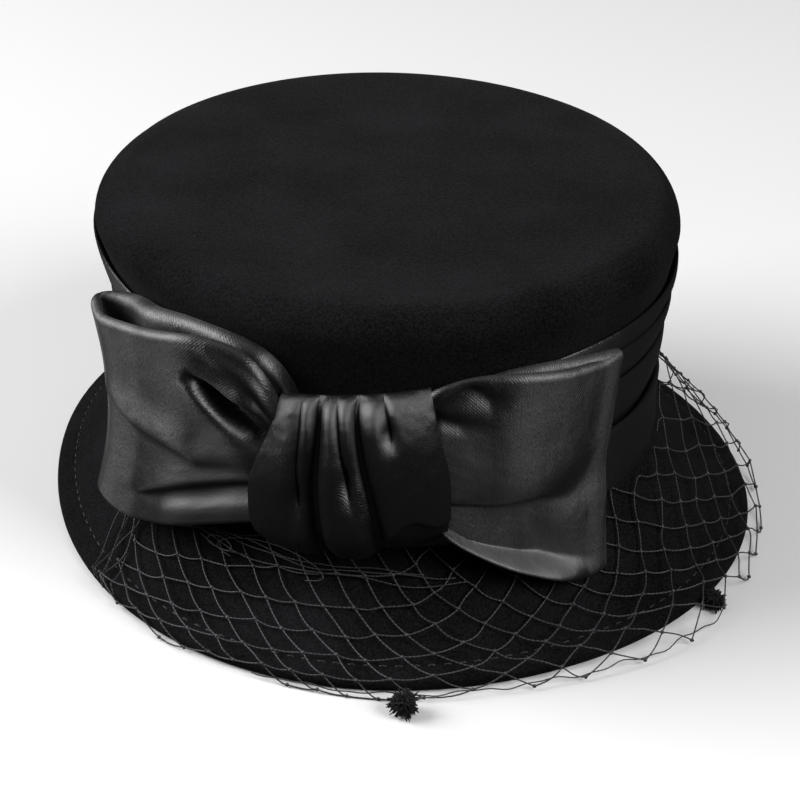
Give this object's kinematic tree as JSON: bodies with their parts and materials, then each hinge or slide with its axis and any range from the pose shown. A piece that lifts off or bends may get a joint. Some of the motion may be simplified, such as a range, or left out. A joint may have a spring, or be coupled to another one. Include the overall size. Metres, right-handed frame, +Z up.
{
  "type": "flat-crowned felt dress hat with bow and veil",
  "caption": "Flat-topped black felt hat with a sloping brim, a pleated satin band, a gathered satin bow and a coarse net veil over the brim, to be worn on a head",
  "frame": {"origin": "middle of the hat's footprint, on the plane that the brim's edge rests on", "axes": "+Z up out of the crown's tip, -Y towards the front of the hat, +X towards the wearer's left"},
  "size_m": [0.2448, 0.2808, 0.115],
  "materials": {
    "wool_felt": "matte, short fibres",
    "satin": "soft sheen",
    "net": "matte thread",
    "chenille": "fuzzy pile"
  },
  "bodies": {
    "root": {"crown": "wool_felt", "brim": "wool_felt", "hat_band": "satin", "bow_loop_left": "satin", "bow_loop_right": "satin", "bow_knot": "satin", "veil": "net", "veil_dot_front": "chenille", "veil_dot_side": "chenille"}
  },
  "joints": []
}
